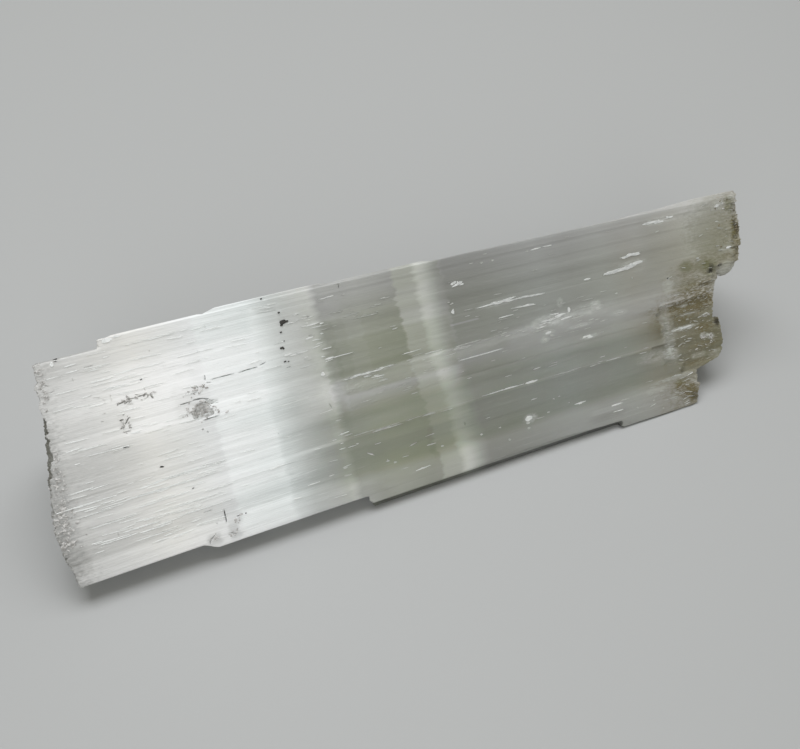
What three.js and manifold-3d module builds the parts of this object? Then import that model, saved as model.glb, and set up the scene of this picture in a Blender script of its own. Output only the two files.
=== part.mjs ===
// A raw selenite stick: one piece of fibrous gypsum, broken off at both ends and lying on its keel.
// Units are millimetres, +Z is up, and the fibres run along X.
//
// The stick is described in the crystal's own frame. "along" runs with the fibres, "across" climbs
// the broad cleavage face, and "depth" goes straight into the crystal from that face.

import * as THREE from 'three';
import { mergeVertices } from 'three/addons/utils/BufferGeometryUtils.js';
import Module from 'manifold-3d';

const wasm = await Module();
wasm.setup();

// How the stick lies on the table.
const faceLean = 48;          // degrees that the broad face leans up from the table
const fibreDip = 1.6;         // degrees that the fibres drop towards the right end
const leftLift = 8.4;         // height of the broad face's reference line at the left end

// The fibres are nearly parallel. They spread a little towards the left end and bow very slightly.
const middle = 130;           // along: where the fibres have their own level
const spreadLow = 3.3;        // climb per 100 mm of the fibres at the lower edge
const spreadHigh = -0.8;      // climb per 100 mm of the fibres at the upper edge
const faceWidth = 84;
const bow = 0.6;              // drop of the fibres 100 mm away from the middle
const lengthSteps = 7;        // straight steps that follow the bow

// Cleaved layers, from the broad face inwards.
const sheetDepth = 2.2;       // the front sheet, which stops short of the ends in places
const sheetBase = 1.2;        // where the body starts under the front sheet
const bodyLayers = 3;         // layers of the body behind the sheet, each with its own ends
const layerLap = 0.4;         // neighbouring bundles run into each other by this much
const brokenStep = 2.6;       // most that a layer is broken off short of the layer in front of it
const ledgeHeight = 1;        // how far a bundle stands in or out of the back's even surface
const unevenTurn = 2.4;       // radians from one break's place in the wave of breaks to the next

// Depth of the crystal behind the broad face, from the lower edge to the ridge.
const backProfile = [
  { across: 3.9, depth: 1.6 },
  { across: 46, depth: 48.5 },
  { across: 60, depth: 41.5 },
  { across: 73, depth: 25.5 },
  { across: 81.3, depth: 3 },
];

// Bundles of the body, from the lower edge up. left and right are where the bundle is broken off, at
// its low and its high side. sheet is where the front sheet starts and stops on it.
const bundles = [
  { low: 3.9, high: 9.7, left: [-5.6, -5.8], right: [251.4, 252.6], sheet: [-5.0, 249.5] },
  { low: 9.7, high: 11.9, left: [-5.9, -6.4], right: [253.2, 255.4], sheet: [-5.6, 244.0] },
  { low: 11.9, high: 15.3, left: [-6.8, -7.6], right: [262.6, 264.6], sheet: [-6.5, 243.0] },
  { low: 15.3, high: 20.0, left: [-7.8, -8.0], right: [264.8, 265.8], sheet: [-7.6, 236.0] },
  { low: 20.0, high: 25.0, left: [-8.0, -7.9], right: [265.9, 265.8], sheet: [-7.8, 227.5] },
  { low: 25.0, high: 29.6, left: [-7.9, -7.6], right: [265.7, 265.4], sheet: [-7.6, 239.0] },
  { low: 29.6, high: 35.0, left: [-7.4, -6.8], right: [263.8, 264.3], sheet: [-6.4, 239.5] },
  { low: 35.0, high: 40.8, left: [-6.6, -5.7], right: [264.5, 265.8], sheet: [-5.4, 238.5] },
  { low: 40.8, high: 46.4, left: [-5.3, -4.6], right: [266.0, 268.2], sheet: [-3.6, 262.0] },
  { low: 46.4, high: 52.2, left: [-4.3, -3.2], right: [268.4, 270.3], sheet: [-1.9, 266.5] },
  { low: 52.2, high: 58.8, left: [-3.0, -2.2], right: [280.9, 282.2], sheet: [-1.7, 276.0] },
  { low: 58.8, high: 65.4, left: [-2.1, -1.6], right: [282.3, 283.2], sheet: [-1.5, 281.0] },
  { low: 65.4, high: 71.8, left: [-1.5, -1.2], right: [283.4, 283.1], sheet: [-1.1, 281.5] },
  { low: 71.8, high: 78.2, left: [-1.0, -0.3], right: [282.7, 283.0], sheet: [-0.3, 280.5] },
  { low: 78.2, high: 81.3, left: [21.6, 22.2], right: [283.0, 279.6], sheet: [22.2, 277.0] },
];

// Thin splinters left along the lower edge and the ridge, and the nub under the top chunk.
const splinters = [
  { low: 1.6, high: 3.9, left: [42.3, 42.8], right: [251.0, 251.4], front: 0, back: [1.8, 3.0] },
  { low: -1.5, high: 1.6, left: [103.4, 103.9], right: [249.2, 250.8], front: 0, back: [1.8, 3.4] },
  { low: -5.7, high: -1.5, left: [211.2, 211.8], right: [247.8, 249.0], front: 0, back: [2.2, 4.0] },
  { low: 81.0, high: 81.9, left: [22.4, 22.8], right: [62.0, 58.0], front: 0.1, back: [3.0, 1.6] },
  { low: 81.0, high: 82.8, left: [57.0, 64.0], right: [112.0, 103.0], front: 0.2, back: [3.0, 1.6] },
  { low: 81.0, high: 82.2, left: [104.0, 108.0], right: [152.0, 144.0], front: 0.1, back: [3.0, 1.6] },
  { low: 81.0, high: 83.1, left: [256.0, 264.0], right: [281.0, 278.0], front: 0.3, back: [4.0, 2.0] },
  { low: 46.7, high: 53.0, left: [255.0, 255.0], right: [276.0, 280.4], front: 2.0, back: [12.0, 12.0] },
];

// The keel: the bundles under the body that the stick rests on. They are broken off short of the
// left end, so that end hangs clear of the table. drop is how far a bundle reaches below the body.
const keelTop = 3;            // how far the keel reaches up into the body
const keel = [
  { low: -1.4, high: 4.3, left: [112, 109], right: [247, 248], drop: [9, 14] },
  { low: 3.9, high: 10, left: [66, 64], right: [246, 244], drop: [14, 15] },
  { low: 10, high: 19, left: [61, 63], right: [250, 252], drop: [15, 15] },
  { low: 19, high: 28, left: [72, 70], right: [255, 251], drop: [15, 15] },
  { low: 28, high: 38, left: [64, 60], right: [247, 249], drop: [15, 14] },
  { low: 38, high: 45, left: [79, 76], right: [240, 238], drop: [12, 5] },
];

// The block under the table's surface that trims the underside flat.
const shelfDepth = 120;
const shelfLength = 400;

const weldDistance = 1e-5;    // corners closer than this are one corner

const selenite = new THREE.MeshStandardMaterial({
  name: 'selenite',
  color: 0xc9cbc6,
  roughness: 0.38,
  metalness: 0.0,
});

// The crystal's frame as a matrix. Its three axes are along the fibres, up the broad face, and out of it.
function crystalFrame() {
  const lean = THREE.MathUtils.degToRad(faceLean);
  const dip = THREE.MathUtils.degToRad(fibreDip);
  const along = new THREE.Vector3(Math.cos(dip), 0, -Math.sin(dip));
  const across = new THREE.Vector3(
    Math.sin(dip) * Math.sin(lean),
    Math.cos(lean),
    Math.sin(lean) * Math.cos(dip),
  );
  const outward = new THREE.Vector3().crossVectors(along, across);
  return new THREE.Matrix4().makeBasis(along, across, outward).setPosition(0, 0, leftLift);
}

// How far the fibre that crosses the middle at "across" has climbed where it is at "along".
function fibreClimb(along, across) {
  const reach = (along - middle) / 100;
  const spread = THREE.MathUtils.lerp(spreadLow, spreadHigh, across / faceWidth);
  return spread * reach - bow * reach * reach;
}

// A repeatable share from 0 to 1 that says how strongly the n-th break steps.
function unevenness(n) {
  return 0.5 + 0.5 * Math.sin(n * unevenTurn);
}

function backDepth(across) {
  const end = backProfile.findIndex((point) => point.across >= across);
  const after = backProfile[Math.max(end, 1)];
  const before = backProfile[Math.max(end, 1) - 1];
  const share = (across - before.across) / (after.across - before.across);
  return THREE.MathUtils.lerp(before.depth, after.depth, share);
}

// One prism of fibres. Its ends may slant, and so may its back. It follows the bow of the fibres.
function prism({ low, high, left, right, front, back }) {
  const { lerp } = THREE.MathUtils;
  const geometry = new THREE.BoxGeometry(1, 1, 1, lengthSteps, 1, 1);
  const position = geometry.attributes.position;
  for (let i = 0; i < position.count; i += 1) {
    const run = position.getX(i) + 0.5;
    const rise = position.getY(i) + 0.5;
    const outer = position.getZ(i) + 0.5;
    const along = lerp(lerp(left[0], left[1], rise), lerp(right[0], right[1], rise), run);
    const across = lerp(low, high, rise);
    const depth = lerp(lerp(back[0], back[1], rise), front, outer);
    position.setXYZ(i, along, across + fibreClimb(along, across), -depth);
  }
  return geometry.applyMatrix4(crystalFrame());
}

function toSolid(geometry) {
  geometry.deleteAttribute('normal');
  geometry.deleteAttribute('uv');
  const merged = mergeVertices(geometry, weldDistance);
  return new wasm.Manifold(new wasm.Mesh({
    numProp: 3,
    vertProperties: new Float32Array(merged.attributes.position.array),
    triVerts: new Uint32Array(merged.index.array),
  }));
}

function toGeometry(solid) {
  const mesh = solid.getMesh();
  const geometry = new THREE.BufferGeometry();
  geometry.setAttribute('position', new THREE.BufferAttribute(new Float32Array(mesh.vertProperties), 3));
  geometry.setIndex(new THREE.BufferAttribute(new Uint32Array(mesh.triVerts), 1));
  geometry.computeVertexNormals();
  return geometry;
}

// The front sheet of a bundle.
function sheetOf({ low, high, sheet }) {
  return prism({
    low: low - layerLap / 2,
    high: high + layerLap / 2,
    left: [sheet[0], sheet[0]],
    right: [sheet[1], sheet[1]],
    front: 0,
    back: [sheetDepth, sheetDepth],
  });
}

// The layers of a bundle behind its sheet. The deeper a layer lies, the more unevenly it is broken.
function layersOf({ low, high, left, right }, row) {
  const { lerp } = THREE.MathUtils;
  const ledge = ledgeHeight * (2 * unevenness(row) - 1);
  const deep = [low, high].map((across) => Math.max(backDepth(across) + ledge, sheetDepth));
  const solids = [];
  for (let layer = 0; layer < bodyLayers; layer += 1) {
    const from = layer / bodyLayers;
    const to = (layer + 1) / bodyLayers;
    const shortLeft = layer * brokenStep * unevenness(row * bodyLayers + layer);
    const shortRight = layer * brokenStep * unevenness(layer * bundles.length + row);
    const lap = layer > 0 ? layerLap : 0;
    solids.push(prism({
      low: low - layerLap / 2,
      high: high + layerLap / 2,
      left: left.map((end) => end + shortLeft),
      right: right.map((end) => end - shortRight),
      front: lerp(sheetBase, Math.min(...deep), from) - lap,
      back: deep.map((depth) => lerp(sheetBase, depth, to)),
    }));
  }
  return solids;
}

function keelOf({ low, high, left, right, drop }) {
  const depths = [low, high].map((across) => backDepth(Math.max(across, backProfile[0].across)));
  return prism({
    low: low - layerLap / 2,
    high: high + layerLap / 2,
    left,
    right,
    front: Math.max(depths[0] - keelTop, sheetBase),
    back: [depths[0] + drop[0], depths[1] + drop[1]],
  });
}

function shelf() {
  const block = new THREE.BoxGeometry(shelfLength, shelfLength, shelfDepth);
  return toSolid(block.translate(middle, 0, -shelfDepth / 2));
}

function makeStick() {
  const solids = [
    ...bundles.map(sheetOf),
    ...bundles.flatMap(layersOf),
    ...splinters.map(prism),
    ...keel.map(keelOf),
  ].map(toSolid);
  let stick = solids[0];
  for (const solid of solids.slice(1)) {
    stick = stick.add(solid);
  }
  return toGeometry(stick.subtract(shelf()));
}

const geometry = makeStick();
geometry.computeBoundingBox();
const centre = geometry.boundingBox.getCenter(new THREE.Vector3());

const stick = new THREE.Mesh(geometry, selenite);
stick.name = 'selenite_stick';
stick.position.set(-centre.x, -centre.y, -geometry.boundingBox.min.z);

const group = new THREE.Group();
group.add(stick);

export default group;
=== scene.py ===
import math
import random
from collections import Counter

import bpy
import numpy as np
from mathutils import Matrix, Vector
from mathutils.bvhtree import BVHTree


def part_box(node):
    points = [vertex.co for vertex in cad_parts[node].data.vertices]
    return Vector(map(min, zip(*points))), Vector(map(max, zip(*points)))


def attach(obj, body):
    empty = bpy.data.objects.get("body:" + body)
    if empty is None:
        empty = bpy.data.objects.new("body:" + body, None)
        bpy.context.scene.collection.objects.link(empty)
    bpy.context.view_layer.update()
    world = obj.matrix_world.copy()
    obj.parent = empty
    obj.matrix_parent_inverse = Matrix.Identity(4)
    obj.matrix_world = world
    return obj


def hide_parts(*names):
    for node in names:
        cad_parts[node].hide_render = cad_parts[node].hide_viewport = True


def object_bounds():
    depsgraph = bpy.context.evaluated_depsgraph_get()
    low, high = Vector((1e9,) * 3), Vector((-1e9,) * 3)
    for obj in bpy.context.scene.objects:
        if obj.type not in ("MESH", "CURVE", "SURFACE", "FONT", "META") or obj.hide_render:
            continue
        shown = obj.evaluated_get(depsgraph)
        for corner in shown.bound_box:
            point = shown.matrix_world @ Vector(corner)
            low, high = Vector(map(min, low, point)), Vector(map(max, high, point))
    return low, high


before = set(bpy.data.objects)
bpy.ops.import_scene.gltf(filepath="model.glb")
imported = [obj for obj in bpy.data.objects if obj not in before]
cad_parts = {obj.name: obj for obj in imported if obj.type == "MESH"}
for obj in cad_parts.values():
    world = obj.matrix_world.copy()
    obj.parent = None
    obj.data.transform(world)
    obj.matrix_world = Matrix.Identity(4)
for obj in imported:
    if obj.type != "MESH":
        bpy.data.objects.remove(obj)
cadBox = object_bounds()
print("stage: the frame is loaded")

mm = 0.001

# How the stick lies. "along" runs with the fibres, "across" climbs the broad face, depth goes into it.
lie = {
    "lean": 48,                 # degrees that the broad face leans up from the table
    "dip": 1.6,                 # degrees that the fibres drop towards the right end
    "startIn": 7.81,            # where along = 0 stands inside the left end of the box
    "startBack": 2.13,          # and behind the front of the box
    "lift": 8.4,                # and above the table
    "middle": 130,              # where the fibres have their own level
    "spreadLow": 3.3,           # climb per 100 mm at the lower edge
    "spreadHigh": -0.8,         # climb per 100 mm at the upper edge
    "faceWidth": 84,
    "bow": 0.6,                 # drop of the fibres 100 mm away from the middle
}


def stickAxes():
    lean, dip = math.radians(lie["lean"]), math.radians(lie["dip"])
    along = Vector((math.cos(dip), 0, -math.sin(dip)))
    across = Vector((math.sin(dip) * math.sin(lean), math.cos(lean), math.sin(lean) * math.cos(dip)))
    outward = along.cross(across)
    low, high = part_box("selenite_stick")
    origin = Vector((low.x + lie["startIn"] * mm, low.y + lie["startBack"] * mm, lie["lift"] * mm))
    return origin, along, across, outward


origin, *axes = stickAxes()


def climbAt(along, across):
    reach = (along - lie["middle"]) / 100
    spread = lie["spreadLow"] + (lie["spreadHigh"] - lie["spreadLow"]) * across / lie["faceWidth"]
    return spread * reach - lie["bow"] * reach * reach


def deselectAll():
    if bpy.context.mode != "OBJECT":
        bpy.ops.object.mode_set(mode="OBJECT")
    bpy.ops.object.select_all(action="DESELECT")


def makeActive(*objects):
    deselectAll()
    for item in objects:
        item.select_set(True)
    bpy.context.view_layer.objects.active = objects[0]


def applyAll(item):
    makeActive(item)
    for modifier in list(item.modifiers):
        bpy.ops.object.modifier_apply(modifier=modifier.name)


def editParts(item, kind, test=None):
    # into edit mode by edges or by faces, with those selected that pass the test, or all of them
    makeActive(item)
    bpy.ops.object.mode_set(mode="EDIT")
    bpy.ops.mesh.select_mode(type=kind)
    bpy.ops.mesh.select_all(action="DESELECT" if test else "SELECT")
    if test:
        bpy.ops.object.mode_set(mode="OBJECT")
        for part in item.data.edges if kind == "EDGE" else item.data.polygons:
            part.select = test(part)
        bpy.ops.object.mode_set(mode="EDIT")


def leaveEdit():
    bpy.ops.object.mode_set(mode="OBJECT")


def roughen(offset, seed, even=1):
    # every corner of the mesh in edit mode is moved a little
    bpy.ops.mesh.select_all(action="SELECT")
    bpy.ops.transform.vertex_random(offset=offset, uniform=even, seed=seed)


def readPoints(item):
    points = np.zeros(len(item.data.vertices) * 3)
    item.data.vertices.foreach_get("co", points)
    return points.reshape(-1, 3)


def writePoints(item, points):
    item.data.vertices.foreach_set("co", np.ascontiguousarray(points, dtype=np.float32).ravel())
    item.data.update()


def copyOf(proto, name):
    copy = proto.copy()
    copy.data = proto.data.copy()
    copy.name = name
    bpy.context.scene.collection.objects.link(copy)
    return copy


def joinAll(items, name):
    makeActive(*items)
    bpy.ops.object.join()
    whole = bpy.context.view_layer.objects.active
    whole.name = name
    whole.data.name = name
    return whole


def removeAll(*items):
    for item in items:
        bpy.data.objects.remove(item, do_unlink=True)


def blend(a, b, share):
    return a + (b - a) * share


def lineThrough(value, points):
    return np.interp(value, *zip(*points))


# Bundles from the lower edge up: low and high side, where they are broken off at the left (at the low
# side and the high side) and at the right, where the front sheet starts and stops, and how far the
# bundle's face stands back from the broad face.
bundles = [
    (3.9, 9.7, -5.6, -5.8, 251.4, 252.6, -5, 250.5, 0.1),
    (9.7, 11.9, -5.9, -6.4, 253.2, 263, -5.6, 245, 0.14),
    (11.9, 15.3, -6.8, -7.6, 263.8, 265.8, -6.5, 244, 0.08),
    (15.3, 20, -7.8, -8, 266, 267, -7.6, 236, 0.13),
    (20, 24.6, -8, -7.9, 267.1, 267.1, -7.8, 233, 0.07),
    (24.6, 29.6, -7.9, -7.6, 267.1, 266.4, -7.6, 239, 0.19),
    (29.6, 35, -7.4, -6.8, 264.6, 265.1, -6.4, 239.5, 0.15),
    (35, 41, -6.6, -5.7, 265.3, 266.6, -5.4, 238.5, 0.09),
    (41, 46.4, -5.3, -4.6, 266.8, 269, -3.6, 262, 0.1),
    (46.4, 52.2, -4.3, -3.2, 269.2, 270.6, -1.9, 266.5, 0.2),
    (52.2, 58.9, -3, -2.2, 281.2, 282.6, -1.7, 279, 0.12),
    (58.9, 65.4, -2.1, -1.6, 283.4, 284.2, -1.5, 281.5, 0.16),
    (65.4, 71.8, -1.5, -1.2, 284.6, 284.8, -1.1, 282.6, 0.12),
    (71.8, 78.2, -1, -0.3, 284.2, 284.6, -0.3, 282, 0.09),
    (78.2, 81.3, 21.6, 22.2, 285, 285.2, 22.2, 283.2, 0),
]

body = {
    "seed": 11,
    "slatWidths": (0.8, 4.0),       # front fibres
    "slatStep": (0.065, 0.03),      # how unevenly the front fibres stand, at the left and at the right
    "slatTilt": (0.06, 0.02),
    "slatSlant": 0.5,
    "slatBreak": (88, 112),         # where a front fibre goes from uneven to even
    "slatOverlap": 3,
    "gapJitter": 2.8,               # unevenness of the gaps' ends
    "sheetDepth": 2.2,
    "sheetBase": 1.3,
    "baseJitter": 0.2,
    "shortOfEnd": 0.6,              # the front sheet stops at least this far before its bundle
    "columnWidths": (2.2, 4.4),     # fibres behind the front sheet
    "layerDepths": (2.6, 5.4),
    "layerLeast": 2,                # no layers where there is less depth than this
    "layerSlant": 0.7,
    "lap": 0.35,
    "edgeLap": 0.2,                 # of the splinters
    "keelLap": 0.3,
    "startJitter": 0.35,
    "stopJitter": 1.7,
    "breakJitter": 0.5,
    "breakBack": 0.5,               # how much further back each deeper layer may be broken off
    "breakMost": 3.4,
    "ledge": 1.0,                   # unevenness of the back
    # how deep the body is at each height of the face
    "back": [(3.9, 1.8), (46, 48.5), (60, 41.5), (73, 25.5), (81.3, 3)],
    "bevel": 0.1,                   # of the long edges, as a share of a fibre's width
    "squash": 3.0,                  # the remesh takes longer steps along the fibres by this much
    "voxel": 0.3,
    "triangles": 185000,            # about as many as this are kept
    "trimDepth": 50,                # how deep the block is that takes off what is below the table
    "sharp": 28,                    # edges sharper than this many degrees stay crisp
}


def depthBehind(across):
    return float(lineThrough(across, body["back"]))


def makeFibre():
    # one unit fibre with its long edges taken off
    deselectAll()
    bpy.ops.mesh.primitive_cube_add(size=1, location=(0.5, 0.5, 0.5))
    fibre = bpy.context.object
    fibre.name = "fibre"
    bpy.ops.object.transform_apply(location=True)

    def isLong(edge):
        a, b = (fibre.data.vertices[i].co for i in edge.vertices)
        return abs(a.x - b.x) > 0.5

    editParts(fibre, "EDGE", isLong)
    bpy.ops.mesh.bevel(offset=body["bevel"], segments=1)
    leaveEdit()
    return fibre


def layFibre(proto, low, high, left, right, front, back):
    # left, right, front and back are pairs: at the low side and at the high side
    fibre = copyOf(proto, "laid")
    x, y, z = readPoints(fibre).T
    along = blend(blend(left[0], left[1], y), blend(right[0], right[1], y), x)
    across = blend(low, high, y)
    depth = blend(blend(back[0], back[1], y), blend(front[0], front[1], y), z)
    writePoints(fibre, np.stack([along / body["squash"], across, -depth], 1) * mm)
    return fibre


def splitWidth(rng, low, high, widths):
    edges, at = [low], low
    while at < high:
        at += rng.uniform(*widths)
        edges.append(at)
    share = (high - low) / (edges[-1] - low)
    return [low + (edge - low) * share for edge in edges]


def layFront(rng, proto, bundle):
    low, high, leftLow, leftHigh, rightLow, rightHigh, start, stop, standBack = bundle
    laid = []
    last = min(rightLow, rightHigh) - body["shortOfEnd"]
    edges = splitWidth(rng, low, high, body["slatWidths"])
    for a, b in zip(edges, edges[1:]):
        begin = start + body["startJitter"] * rng.uniform(-1, 1)
        finish = min(stop + body["stopJitter"] * rng.uniform(-1, 1), last)
        change = rng.uniform(*body["slatBreak"])
        cuts = [begin, change]
        for left, right, below, above in gaps:
            if below < (a + b) / 2 < above:
                jitter = body["gapJitter"]
                cuts[1:1] = [side + rng.uniform(-jitter, jitter) for side in (left, right)]
        runs = [(*run, 0) for run in zip(cuts[::2], cuts[1::2])]
        runs.append((change - body["slatOverlap"], finish, 1))
        for left, right, part in runs:
            step = standBack + body["slatStep"][part] * rng.uniform(-1, 1)
            tilt = body["slatTilt"][part] * rng.uniform(-1, 1)
            slant = body["slatSlant"] * rng.uniform(-1, 1)
            laid.append(layFibre(
                proto, a - body["lap"] / 2, b + body["lap"] / 2,
                (left, left + slant), (right, right - slant),
                (step - tilt, step + tilt), (body["sheetDepth"], body["sheetDepth"])))
    return laid


def layBehind(rng, proto, bundle):
    low, high, leftLow, leftHigh, rightLow, rightHigh, start, stop, standBack = bundle
    laid = []
    edges = splitWidth(rng, low, high, body["columnWidths"])
    for a, b in zip(edges, edges[1:]):
        ledge = body["ledge"] * rng.uniform(-1, 1)
        deepLow = max(depthBehind(a) + ledge, body["sheetDepth"])
        deepHigh = max(depthBehind(b) + ledge, body["sheetDepth"])
        shares = [(a - low) / (high - low), (b - low) / (high - low)]
        front = body["sheetBase"] + rng.uniform(-body["baseJitter"], body["baseJitter"])
        least = min(deepLow, deepHigh)
        layers = [front, least]
        if least > front + body["layerLeast"]:
            layers = splitWidth(rng, front, least, body["layerDepths"])
        for n, (top, bottom) in enumerate(zip(layers, layers[1:])):
            most = min(body["breakMost"], n * body["breakBack"])
            short = [most * rng.random() + body["breakJitter"] * rng.random() for _ in range(2)]
            slant = [rng.uniform(-body["layerSlant"], body["layerSlant"]) * min(n, 1) for _ in range(2)]
            left = [blend(leftLow, leftHigh, s) + short[0] for s in shares]
            right = [blend(rightLow, rightHigh, s) - short[1] for s in shares]
            last = n == len(layers) - 2
            laid.append(layFibre(
                proto, a - body["lap"] / 2, b + body["lap"] / 2,
                (left[0], left[1] + slant[0]), (right[0], right[1] + slant[1]),
                (top - body["lap"] * (n > 0),) * 2,
                (deepLow, deepHigh) if last else (bottom, bottom)))
    return laid


# Splinters along the two long edges: low, high, left ends, right ends, front and back depths.
splinters = [
    (1.6, 3.9, (44.6, 39.5), (251, 251.4), (0.1, 0.1), (1.8, 3)),
    (-0.9, 1.6, (103.7, 103.2), (250, 250.7), (0.2, 0.1), (1.8, 3.4)),
    (-1.6, -0.8, (104.2, 103.7), (126, 182), (0.3, 0.15), (1.6, 2.4)),
    (-1.9, -0.8, (207, 186), (214, 214), (0.3, 0.15), (1.6, 2.4)),
    (-4.9, -0.8, (212.6, 210.8), (248.4, 249.8), (0.3, 0.1), (2.2, 4)),
    (-5.8, -4.8, (240, 214), (247.8, 248.4), (0.5, 0.3), (2.4, 3)),
    (-3.5, -1, (105, 104.4), (214, 214), (2.4, 0.5), (7, 6)),
    (81, 81.9, (23.4, 27), (62, 58), (0.1, 0.2), (3, 1.6)),
    (81, 82.8, (57, 64), (112, 103), (0.2, 0.3), (3, 1.6)),
    (81, 82.2, (104, 108), (152, 144), (0.1, 0.3), (3, 1.6)),
    (81, 82.2, (214, 240), (284.8, 284.6), (0.1, 0.3), (4, 2.6)),
    (82, 83.4, (240, 266), (284.2, 283.6), (0.4, 0.6), (3, 2)),
]

# The keel: low, high, left ends, right ends, how far it reaches below the body at its two sides.
keel = [
    (-1.4, 4.3, (112, 109), (247, 248), (9, 14)),
    (3.9, 10, (66, 64), (246, 244), (14, 15)),
    (10, 19, (61, 63), (250, 252), (15, 15)),
    (19, 28, (72, 70), (255, 251), (15, 15)),
    (28, 38, (64, 60), (247, 249), (15, 14)),
    (38, 45, (79, 76), (240, 238), (12, 5)),
]
keelTop = 3

# Places where the front sheet is broken away: from, to, low, high.
gaps = [
    (46.5, 54.5, 46.5, 53),
]


def layKeel(proto):
    laid = []
    for low, high, left, right, drop in keel:
        depths = [depthBehind(side) for side in (low, high)]
        top = max(depths[0] - keelTop, body["sheetBase"])
        laid.append(layFibre(
            proto, low - body["keelLap"], high + body["keelLap"], left, right,
            (top, top), (depths[0] + drop[0], depths[1] + drop[1])))
    return laid


# The rounded lobe under the upper part's right end: half sizes and middle.
lobe = {
    "size": (6.3, 6.7, 5.6),
    "middle": (274.6, 53.3, -5.8),
    "segments": 24,
    "rings": 14,
}


def makeLobe():
    deselectAll()
    bpy.ops.mesh.primitive_uv_sphere_add(segments=lobe["segments"], ring_count=lobe["rings"], radius=1)
    item = bpy.context.object
    points = readPoints(item) * lobe["size"] + lobe["middle"]
    points[:, 0] /= body["squash"]
    writePoints(item, points * mm)
    return item


def toPlaces(points):
    # from along, across and outward in millimetres to places in the frame
    x, y, z = points.T
    return np.stack([x, y + climbAt(x, y), z], 1) @ np.array(axes) * mm + np.array(origin)


def bendAndPlace(item):
    writePoints(item, toPlaces(readPoints(item) / mm))


# Cracks and pits of the broad face: along, across, length, width, turn in degrees, depth.
cracks = [
    (24.6, 59.2, 3.8, 0.9, 9, 1), (26.4, 58.9, 2.4, 0.8, 24, 0.9), (30.6, 60.4, 2.2, 0.7, -20, 0.8),
    (27.2, 60.2, 1.6, 0.6, -28, 0.7), (28.2, 59.7, 4.8, 0.8, -3, 1.1), (32, 59.8, 4.4, 0.9, 4, 1.1),
    (34.4, 59.4, 2, 0.9, -24, 1.1), (35.3, 58.6, 0.9, 3.8, 14, 1.1), (33.2, 58.6, 2.2, 0.5, 16, 0.6),
    (23.3, 59, 0.5, 2.4, -4, 0.8), (21.7, 61.5, 0.3, 6, -3, 0.5), (27.5, 58, 3.2, 0.7, -8, 0.6),
    (33.5, 61.6, 0.5, 2, 18, 0.6), (17, 63, 3, 0.6, -12, 0.5), (19.2, 61.6, 1.6, 0.5, -30, 0.5),
    (18.2, 57.2, 1.3, 0.5, 8, 0.5), (16.9, 54.9, 1.2, 0.6, 0, 0.5), (23.2, 53.6, 2, 1.1, 8, 1),
    (25, 52.9, 3.6, 1, 48, 1), (22.9, 51, 2.4, 1, 14, 1), (24, 49.4, 3.4, 0.7, 0, 0.9),
    (22.3, 44.4, 2.6, 1, -8, 0.9), (32.4, 34.5, 2, 1.2, -10, 1.4), (41.1, 24.2, 1.4, 0.6, 10, 0.6),
    (46, 53.3, 5.6, 0.8, 2, 1.1), (50.6, 53.5, 5.2, 1.1, -3, 1.3), (53.4, 52.9, 2.4, 0.9, -16, 1.2),
    (53.6, 51.8, 1.8, 2.6, 10, 1.3), (56.3, 50.6, 2.4, 1.1, -6, 1), (53.4, 46, 7.5, 0.8, 2, 1.2),
    (49.6, 42.9, 1.2, 1.4, 30, 0.6), (51.1, 41.6, 0.6, 1.4, 14, 0.6), (49.6, 56, 3.2, 0.6, 6, 0.7),
    (51.4, 57.6, 0.7, 2.6, 20, 0.7), (54.8, 60, 0.8, 4, -6, 1.2), (60.8, 58.9, 11, 0.7, 0, 1),
    (70.4, 58.9, 9, 0.8, 2, 1), (76.2, 59.6, 3.2, 0.5, 12, 0.8), (55.6, 58.2, 2, 0.8, -12, 0.8),
    (49.6, 11.2, 0.7, 9, -3, 1.5), (54.2, 9.9, 1.8, 0.6, 0, 0.8), (46.1, 9.8, 0.6, 1.2, 20, 0.6),
    (44, 14.9, 4.4, 0.4, 2, 0.6), (12.1, 16.8, 0.3, 2.6, 4, 0.5), (38.4, 67, 0.6, 1.8, 8, 0.4),
    (41.6, 67.6, 2.4, 0.4, 4, 0.4), (11, 70.6, 0.4, 3, 6, 0.4), (17.2, 73.7, 4, 0.5, 0, 0.5),
    (2.2, 71, 2, 0.6, -20, 0.5), (3.4, 68.6, 2.6, 0.6, 12, 0.5), (38.4, 73.6, 0.4, 1.6, 4, 0.4),
    (59.2, 77, 0.4, 2.2, 8, 0.4), (54.6, 69.4, 0.4, 2.2, 4, 0.4), (96.9, 38.2, 0.4, 3.8, 12, 0.6),
    (146.7, 17, 0.4, 2.4, 16, 0.7), (110.2, 80.2, 0.4, 2.6, 2, 0.6), (75.6, 33.8, 0.4, 1.6, 6, 0.4),
    (85.2, 56, 2.2, 0.5, 6, 0.5), (245.9, 52, 1.4, 1.2, 20, 0.9), (270.6, 52.1, 1.6, 1.4, 10, 1.2),
    (266.6, 50.9, 2.2, 1.2, 24, 1.4), (7, 77.9, 1.8, 0.6, 0, 0.8), (43, 5.2, 3.6, 1, 34, 0.7),
    (51, 4.6, 2.6, 1.2, -24, 0.7), (42.2, 4.2, 2.4, 0.6, 60, 0.6),
]


# The shape that cuts them: a rough wedge, one unit long, wide and deep.
wedge = {
    "corners": 8,
    "foot": (0.7, 0.25, 1),         # how much narrower it is below
    "rough": 0.05,
    "seed": 3,
}


def makeWedge():
    deselectAll()
    bpy.ops.mesh.primitive_cylinder_add(vertices=wedge["corners"], radius=0.5, depth=1)
    item = bpy.context.object
    editParts(item, "FACE", lambda face: face.normal.z < -0.5)
    bpy.ops.transform.resize(value=wedge["foot"])
    roughen(wedge["rough"], wedge["seed"])
    leaveEdit()
    return item


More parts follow.
